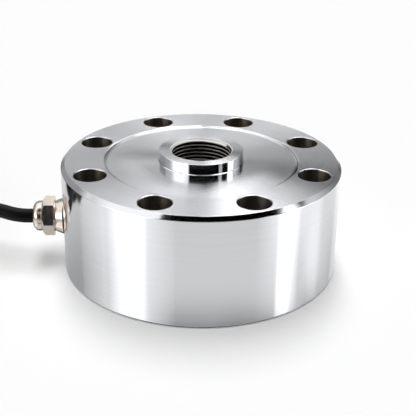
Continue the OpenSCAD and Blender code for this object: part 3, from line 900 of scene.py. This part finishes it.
# %% Cores, drain and gauge wires
core_shades = {
    "red": ("#9c1714", "#bd2822"), "green": ("#14682f", "#1f8542"),
    "white": ("#dcdcd6", "#efefea"), "black": ("#0f0f0f", "#1b1b1b"),
}
for name, (dark, light) in core_shades.items():
    insulation = grained(name + " PVC", dark, light, 0.9, (0.3, 0.42), 0.004)
    cores[name].data.materials.append(insulation)
    finish_nodes(insulation, "inner_core_" + name)
tinned = grained("tinned copper", "#a9a9a6", "#cfcfca", 0.5, (0.24, 0.4), 0.01, Metallic=1.0)
drain.data.materials.append(tinned)
finish_nodes(tinned, "inner_drain")
enamelled = grained(
    "enamelled copper", "#7c3414", "#a8552a", 0.4, (0.18, 0.3), 0.01, stretch=(1, 1, 2), Metallic=0.7,
    Coat_Weight=0.6, Coat_Roughness=0.1,
)
finish_nodes(enamelled, "gauge_harness", *["gauge_lead_%d" % i for i in range(1, 9)])
print("cores:", ", ".join(core_shades), "and", tinned.name)

# %% [markdown]
# ### Strain gauges
# A gauge is a zigzag of constantan foil on an amber polyimide film. Its lines run along the strain, at 45
# degrees to the spoke. On every spoke the radius plus the height counts straight across them, so one wave
# of that sum draws the lines of all eight gauges. Real lines are 0.1 mm apart, and these are 0.5 mm so that
# they show in a close view. The foil covers a square in the middle, and the film shows round it.

# %% Gauge foil
gauge_foil, tree = new_material("constantan foil on polyimide", Coat_Weight=0.3, Coat_Roughness=0.2)
shader = tree.nodes["Principled BSDF"]
line_gap, foil_half = 0.5, 3.4
radius, place = from_axis(tree)
outward = add_node(tree, "ShaderNodeMath", {"operation": "SUBTRACT"}, {0: radius, 1: mm(pocket_x)})
upward = add_node(tree, "ShaderNodeMath", {"operation": "SUBTRACT"}, {0: place["Z"], 1: mm(spoke_mid)})
across, along = (
    add_node(tree, "ShaderNodeMath", {"operation": kind}, {0: outward.outputs[0], 1: upward.outputs[0]})
    for kind in ("ADD", "SUBTRACT")
)
phase = add_node(tree, "ShaderNodeMath", {"operation": "MULTIPLY"}, {
    0: across.outputs[0], 1: 2 * math.pi / mm(line_gap * math.sqrt(2)),
})
wave = add_node(tree, "ShaderNodeMath", {"operation": "SINE"}, {0: phase.outputs[0]})
line = add_node(tree, "ShaderNodeMath", {"operation": "GREATER_THAN"}, {0: wave.outputs[0], 1: 0.0})
for way in (across, along):
    size = add_node(tree, "ShaderNodeMath", {"operation": "ABSOLUTE"}, {0: way.outputs[0]})
    inside = add_node(tree, "ShaderNodeMath", {"operation": "LESS_THAN"}, {
        0: size.outputs[0], 1: mm(foil_half),
    })
    line = add_node(tree, "ShaderNodeMath", {"operation": "MULTIPLY"}, {
        0: line.outputs[0], 1: inside.outputs[0],
    })
dress(tree, line.outputs[0], "#b8741c", "#c9a77c", (0.35, 0.22), 0.005)
tree.links.new(line.outputs[0], shader.inputs["Metallic"])
finish_nodes(gauge_foil, *["strain_gauge_%d" % i for i in range(1, 9)])
print("gauge lines every", line_gap, "mm over", 2 * foil_half, "mm")

# %% [markdown]
# ### Bridge board
# The board is glass-fibre laminate under a green solder mask. The glass cloth's threads, drawn 0.8 mm wide,
# show faintly through it as a weave of two crossed waves. The trimming resistors are dipped in blue lacquer
# and the temperature spool is wound with nickel wire, turn beside turn, with painted shade darkening the
# gaps between the turns.

# %% Laminate, lacquer and winding
board, tree = new_material("green glass-fibre laminate", Coat_Weight=0.4, Coat_Roughness=0.15)
thread_width = 0.8
place = add_node(tree, "ShaderNodeTexCoord")
weave = [
    add_node(tree, "ShaderNodeTexWave", {"wave_type": "BANDS", "bands_direction": direction}, {
        "Vector": place.outputs["Object"], "Scale": math.pi / 10 / mm(thread_width), "Distortion": 0.4,
    })
    for direction in ("X", "Y")
]
cloth = add_node(tree, "ShaderNodeMath", {"operation": "MULTIPLY"}, {
    0: weave[0].outputs["Fac"], 1: weave[1].outputs["Fac"],
})
dress(tree, cloth.outputs[0], "#14512d", "#1f7040", (0.28, 0.36), 0.01)
finish_nodes(board, "bridge_board")

lacquer = grained("dipped blue lacquer", "#2c5f86", "#3f7ba6", 1.8, (0.16, 0.28), 0.02, Coat_Weight=0.5)
finish_nodes(lacquer, "zero_resistor", "span_resistor", "balance_resistor")

winding, tree = new_material("wound nickel wire", Metallic=1.0)
wire_width = 0.3
place = add_node(tree, "ShaderNodeTexCoord")
turns = add_node(tree, "ShaderNodeTexWave", {"wave_type": "BANDS", "bands_direction": "Z"}, {
    "Vector": place.outputs["Object"], "Scale": math.pi / 10 / mm(wire_width), "Distortion": 0.2,
})
# The darker tone in the gaps between the turns is painted shade.
dress(tree, turns.outputs["Fac"], "#6f6455", "#cbbfa9", (0.4, 0.22), 0.08)
finish_nodes(winding, "temperature_spool")
print("on the board:", board.name, "with", lacquer.name, "and", winding.name)

# %% [markdown]
# ## Studio
# The part stands on white paper. The paper catches the shadow but isn't mirrored by the metal: what the
# metal mirrors is drawn in the world instead, as a photographer does with white and black cards. Away from
# the part the camera sees the paper fade into the same white as the background, so that no horizon shows.

# %% Paper
floor_r = 4
take()
bpy.ops.mesh.primitive_circle_add(vertices=64, radius=floor_r, fill_type="NGON")
floor = bpy.context.object
floor.name = "floor"
floor.visible_glossy = False
paper_white = colour("#fdfdfd")
fade_start, fade_end = 0.45, 1.2
paper, tree = new_material("white paper", Base_Color=paper_white, Roughness=1.0)
place = add_node(tree, "ShaderNodeTexCoord")
distance = add_node(tree, "ShaderNodeVectorMath", {"operation": "LENGTH"}, {0: place.outputs["Object"]})
away = add_node(tree, "ShaderNodeMapRange", {"interpolation_type": "SMOOTHSTEP"}, {
    "Value": distance.outputs["Value"], "From Min": fade_start, "From Max": fade_end,
})
path = add_node(tree, "ShaderNodeLightPath")
faded = add_node(tree, "ShaderNodeMath", {"operation": "MULTIPLY"}, {
    0: away.outputs[0], 1: path.outputs["Is Camera Ray"],
})
plain = add_node(tree, "ShaderNodeEmission", inputs={"Color": paper_white})
mix = add_node(tree, "ShaderNodeMixShader", inputs={
    0: faded.outputs[0], 1: tree.nodes["Principled BSDF"].outputs[0], 2: plain.outputs[0],
})
tree.links.new(mix.outputs[0], tree.nodes["Material Output"].inputs["Surface"])
floor.data.materials.append(paper)
print("paper fades out from", fade_start, "to", fade_end, "m")

# %% [markdown]
# A mirror-like part looks like what stands round it. Each card below is a patch of the sky round the part
# with soft edges. Its numbers are where it starts and ends going round, in degrees from the camera's side
# with the right positive, how many degrees wide the fade is at these two edges, then the same four for its
# height above the horizon, and its brightness. A card that runs from -400 to 400 goes all the way round.
#
# Five cards were placed one by one: "paper below", "paper in front", "front, high", "back left, middle"
# and "back right, middle". The numbers of the other 26 come from a separate fitting program. It followed the
# camera's rays off the turned surfaces, compared what the cards give there with how bright the picture is,
# and moved the edges and the brightness by least squares. They were then only rounded, to whole degrees and
# steps of 0.05.

# %% Cards
cards = {
    "paper below": (-400, 400, 5, 5, -95, -72, 2, 4, 0.60),
    "paper in front": (-130, 130, 20, 20, -76, -43, 4, 5, 0.70),
    "front, high": (-38, 38, 10, 10, 38, 50, 5, 5, 0.60),
    "table edge all round": (-400, 400, 5, 5, -20, -11, 18, 21, 1.10),
    "left strip, low": (-101, -32, 30, 25, -52, -22, 7, 7, 0.85),
    "right strip, low": (60, 92, 29, 17, -32, -3, 2, 4, 1.20),
    "left strip": (-85, -34, 24, 6, -2, 25, 2, 20, 2.80),
    "left strip, high": (-114, -46, 9, 1, 30, 80, 25, 5, 1.20),
    "right strip": (77, 96, 1, 7, -14, 46, 2, 2, 1.80),
    "thin strip": (49, 59, 1, 1, -4, 36, 2, 2, 0.65),
    "right panel, high": (114, 185, 1, 8, 49, 76, 2, 2, 2.05),
    "back strip": (168, 178, 2, 1, 28, 44, 7, 22, 2.80),
    "left back panel, high": (-183, -162, 5, 4, 45, 62, 18, 2, 2.55),
    "overhead": (-400, 400, 5, 5, 87, 99, 2, 3, 2.25),
    "overhead, right": (88, 189, 4, 8, 58, 88, 6, 2, 2.45),
    "overhead, left": (-173, -90, 6, 8, 67, 92, 6, 6, 2.20),
    "left back": (-170, -93, 3, 1, -2, 32, 9, 3, 0.35),
    "right side": (92, 124, 1, 30, -15, 36, 7, 3, 0.75),
    "back": (143, 182, 30, 4, 2, 16, 12, 21, 0.60),
    "left back strip": (-173, -169, 4, 1, 28, 48, 25, 2, 2.45),
    "table, left": (-175, -100, 15, 24, -44, -13, 8, 7, 0.40),
    "table, right": (95, 126, 12, 30, -31, -20, 4, 15, 1.05),
    "table, far right": (133, 178, 28, 10, -40, -10, 8, 4, 0.70),
    "table, front": (-36, 58, 30, 25, -32, -24, 2, 11, 0.85),
    "back, middle": (-184, -170, 5, 4, 19, 39, 2, 5, 0.50),
    "back left, middle": (-160, -116, 8, 8, 35, 64, 8, 8, 1.30),
    "back right, middle": (122, 160, 8, 8, 35, 48, 8, 6, 1.00),
    "back, right": (172, 183, 4, 4, 13, 27, 5, 2, 0.25),
    "table, middle": (-28, 22, 19, 21, -33, -32, 4, 2, 0.25),
    "left strip on the table": (-75, -45, 12, 5, -37, -21, 6, 6, 0.45),
    "right strip on the table": (66, 80, 2, 4, -34, -22, 5, 6, 0.60),
}

# %% [markdown]
# The world's nodes turn a direction into two angles and then add up the cards. Four ramps make the four
# edges of a card. Only mirrored rays see the cards. Soft light on the paper and the plastics comes from an
# even grey sky, and the camera sees plain white behind the paper.

# %% World
world = bpy.data.worlds.new("studio")
bpy.context.scene.world = world
world.use_nodes = True
tree = world.node_tree
tree.nodes.clear()
sky_light = 0.2
place = add_node(tree, "ShaderNodeTexCoord")
facing = add_node(tree, "ShaderNodeVectorRotate", {"rotation_type": "Z_AXIS"}, {
    "Vector": place.outputs["Generated"], "Angle": -camera_turn,
})
split = add_node(tree, "ShaderNodeSeparateXYZ", inputs={"Vector": facing.outputs[0]})
nearer = add_node(tree, "ShaderNodeMath", {"operation": "MULTIPLY"}, {0: split.outputs["Y"], 1: -1.0})
compass = add_node(tree, "ShaderNodeMath", {"operation": "ARCTAN2"}, {
    0: split.outputs["X"], 1: nearer.outputs[0],
})
azimuth = add_node(tree, "ShaderNodeMath", {"operation": "DEGREES"}, {0: compass.outputs[0]})
rise = add_node(tree, "ShaderNodeMath", {"operation": "ARCSINE"}, {0: split.outputs["Z"]})
height = add_node(tree, "ShaderNodeMath", {"operation": "DEGREES"}, {0: rise.outputs[0]})

total = None  # what the cards so far give together
for start, end, soft_start, soft_end, low, high, soft_low, soft_high, brightness in cards.values():
    light = None  # what this card gives in the direction that is looked in
    for angle, edge, half in (
        (azimuth, start, soft_start / 2), (azimuth, end, -soft_end / 2),
        (height, low, soft_low / 2), (height, high, -soft_high / 2),
    ):
        if abs(edge) > 180 + abs(half):  # this edge lies past the back, where no direction meets it
            continue
        ramp = add_node(tree, "ShaderNodeMapRange", inputs={
            "Value": angle.outputs[0], "From Min": edge - half, "From Max": edge + half,
            "To Max": 1.0 if light else brightness,
        })
        light = ramp if light is None else add_node(
            tree, "ShaderNodeMath", {"operation": "MULTIPLY"}, {0: light.outputs[0], 1: ramp.outputs[0]},
        )
    total = light if total is None else add_node(
        tree, "ShaderNodeMath", {"operation": "ADD"}, {0: total.outputs[0], 1: light.outputs[0]},
    )

path = add_node(tree, "ShaderNodeLightPath")
shades = [
    add_node(tree, "ShaderNodeBackground", inputs={"Color": (1, 1, 1, 1), "Strength": strength})
    for strength in (total.outputs[0], sky_light, paper_white[0])
]
lit = add_node(tree, "ShaderNodeMixShader", inputs={
    0: path.outputs["Is Glossy Ray"], 1: shades[1].outputs[0], 2: shades[0].outputs[0],
})
seen = add_node(tree, "ShaderNodeMixShader", inputs={
    0: path.outputs["Is Camera Ray"], 1: lit.outputs[0], 2: shades[2].outputs[0],
})
add_node(tree, "ShaderNodeOutputWorld", inputs={"Surface": seen.outputs[0]})
world.cycles.sampling_method = "NONE"
bpy.context.scene.view_settings.view_transform = "Standard"
print(len(cards), "cards")

# %% [markdown]
# One long softbox hangs from the ceiling, from in front of the part to well behind it. It gives the paper
# its white and the part its soft shadow, which falls mostly to the front.

# %% Softbox
box_width, box_length, box_watts = 1.3, 6.5, 255
box_behind, box_height = 0.6, 5
take()
bpy.ops.object.light_add(type="AREA", location=(0, box_behind, box_height))
softbox = bpy.context.object
softbox.name = "softbox"
softbox.data.shape = "RECTANGLE"
softbox.data.size, softbox.data.size_y = box_width, box_length
softbox.data.energy = box_watts
softbox.visible_glossy = False
print("softbox:", box_watts, "W over", box_width, "by", box_length, "m")

# %% [markdown]
# ## Riding on the frame
# Each row names a piece, the CAD nodes that it stands for and a finish of the record. Every piece is told
# which body it moves with, and the CAD nodes that it stands for are hidden.

# %% Put every piece on the frame
made = [
    (body, ["sensing_body"], "turned_steel"),
    (covers[0], ["top_cover"], "cover_steel"),
    (covers[1], ["bottom_cover"], "cover_steel"),
    (gland_body, ["gland_body"], "gland_nickel"),
    (nut, ["gland_nut"], "gland_nickel"),
    (cable, ["cable_lead", "cable_coil", "cable_tail"], "cable_sheath"),
    (sleeve, ["end_sleeve"], "cable_sheath"),
    (drain, ["drain_wire"], "tinned_copper"),
    *[(cores[name], ["core_" + name], "core_" + name) for name in cores],
]
for piece, replaced, slot in made:
    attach(piece, "root")
    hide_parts(*replaced)
print(len(made), "new pieces ride on the frame")
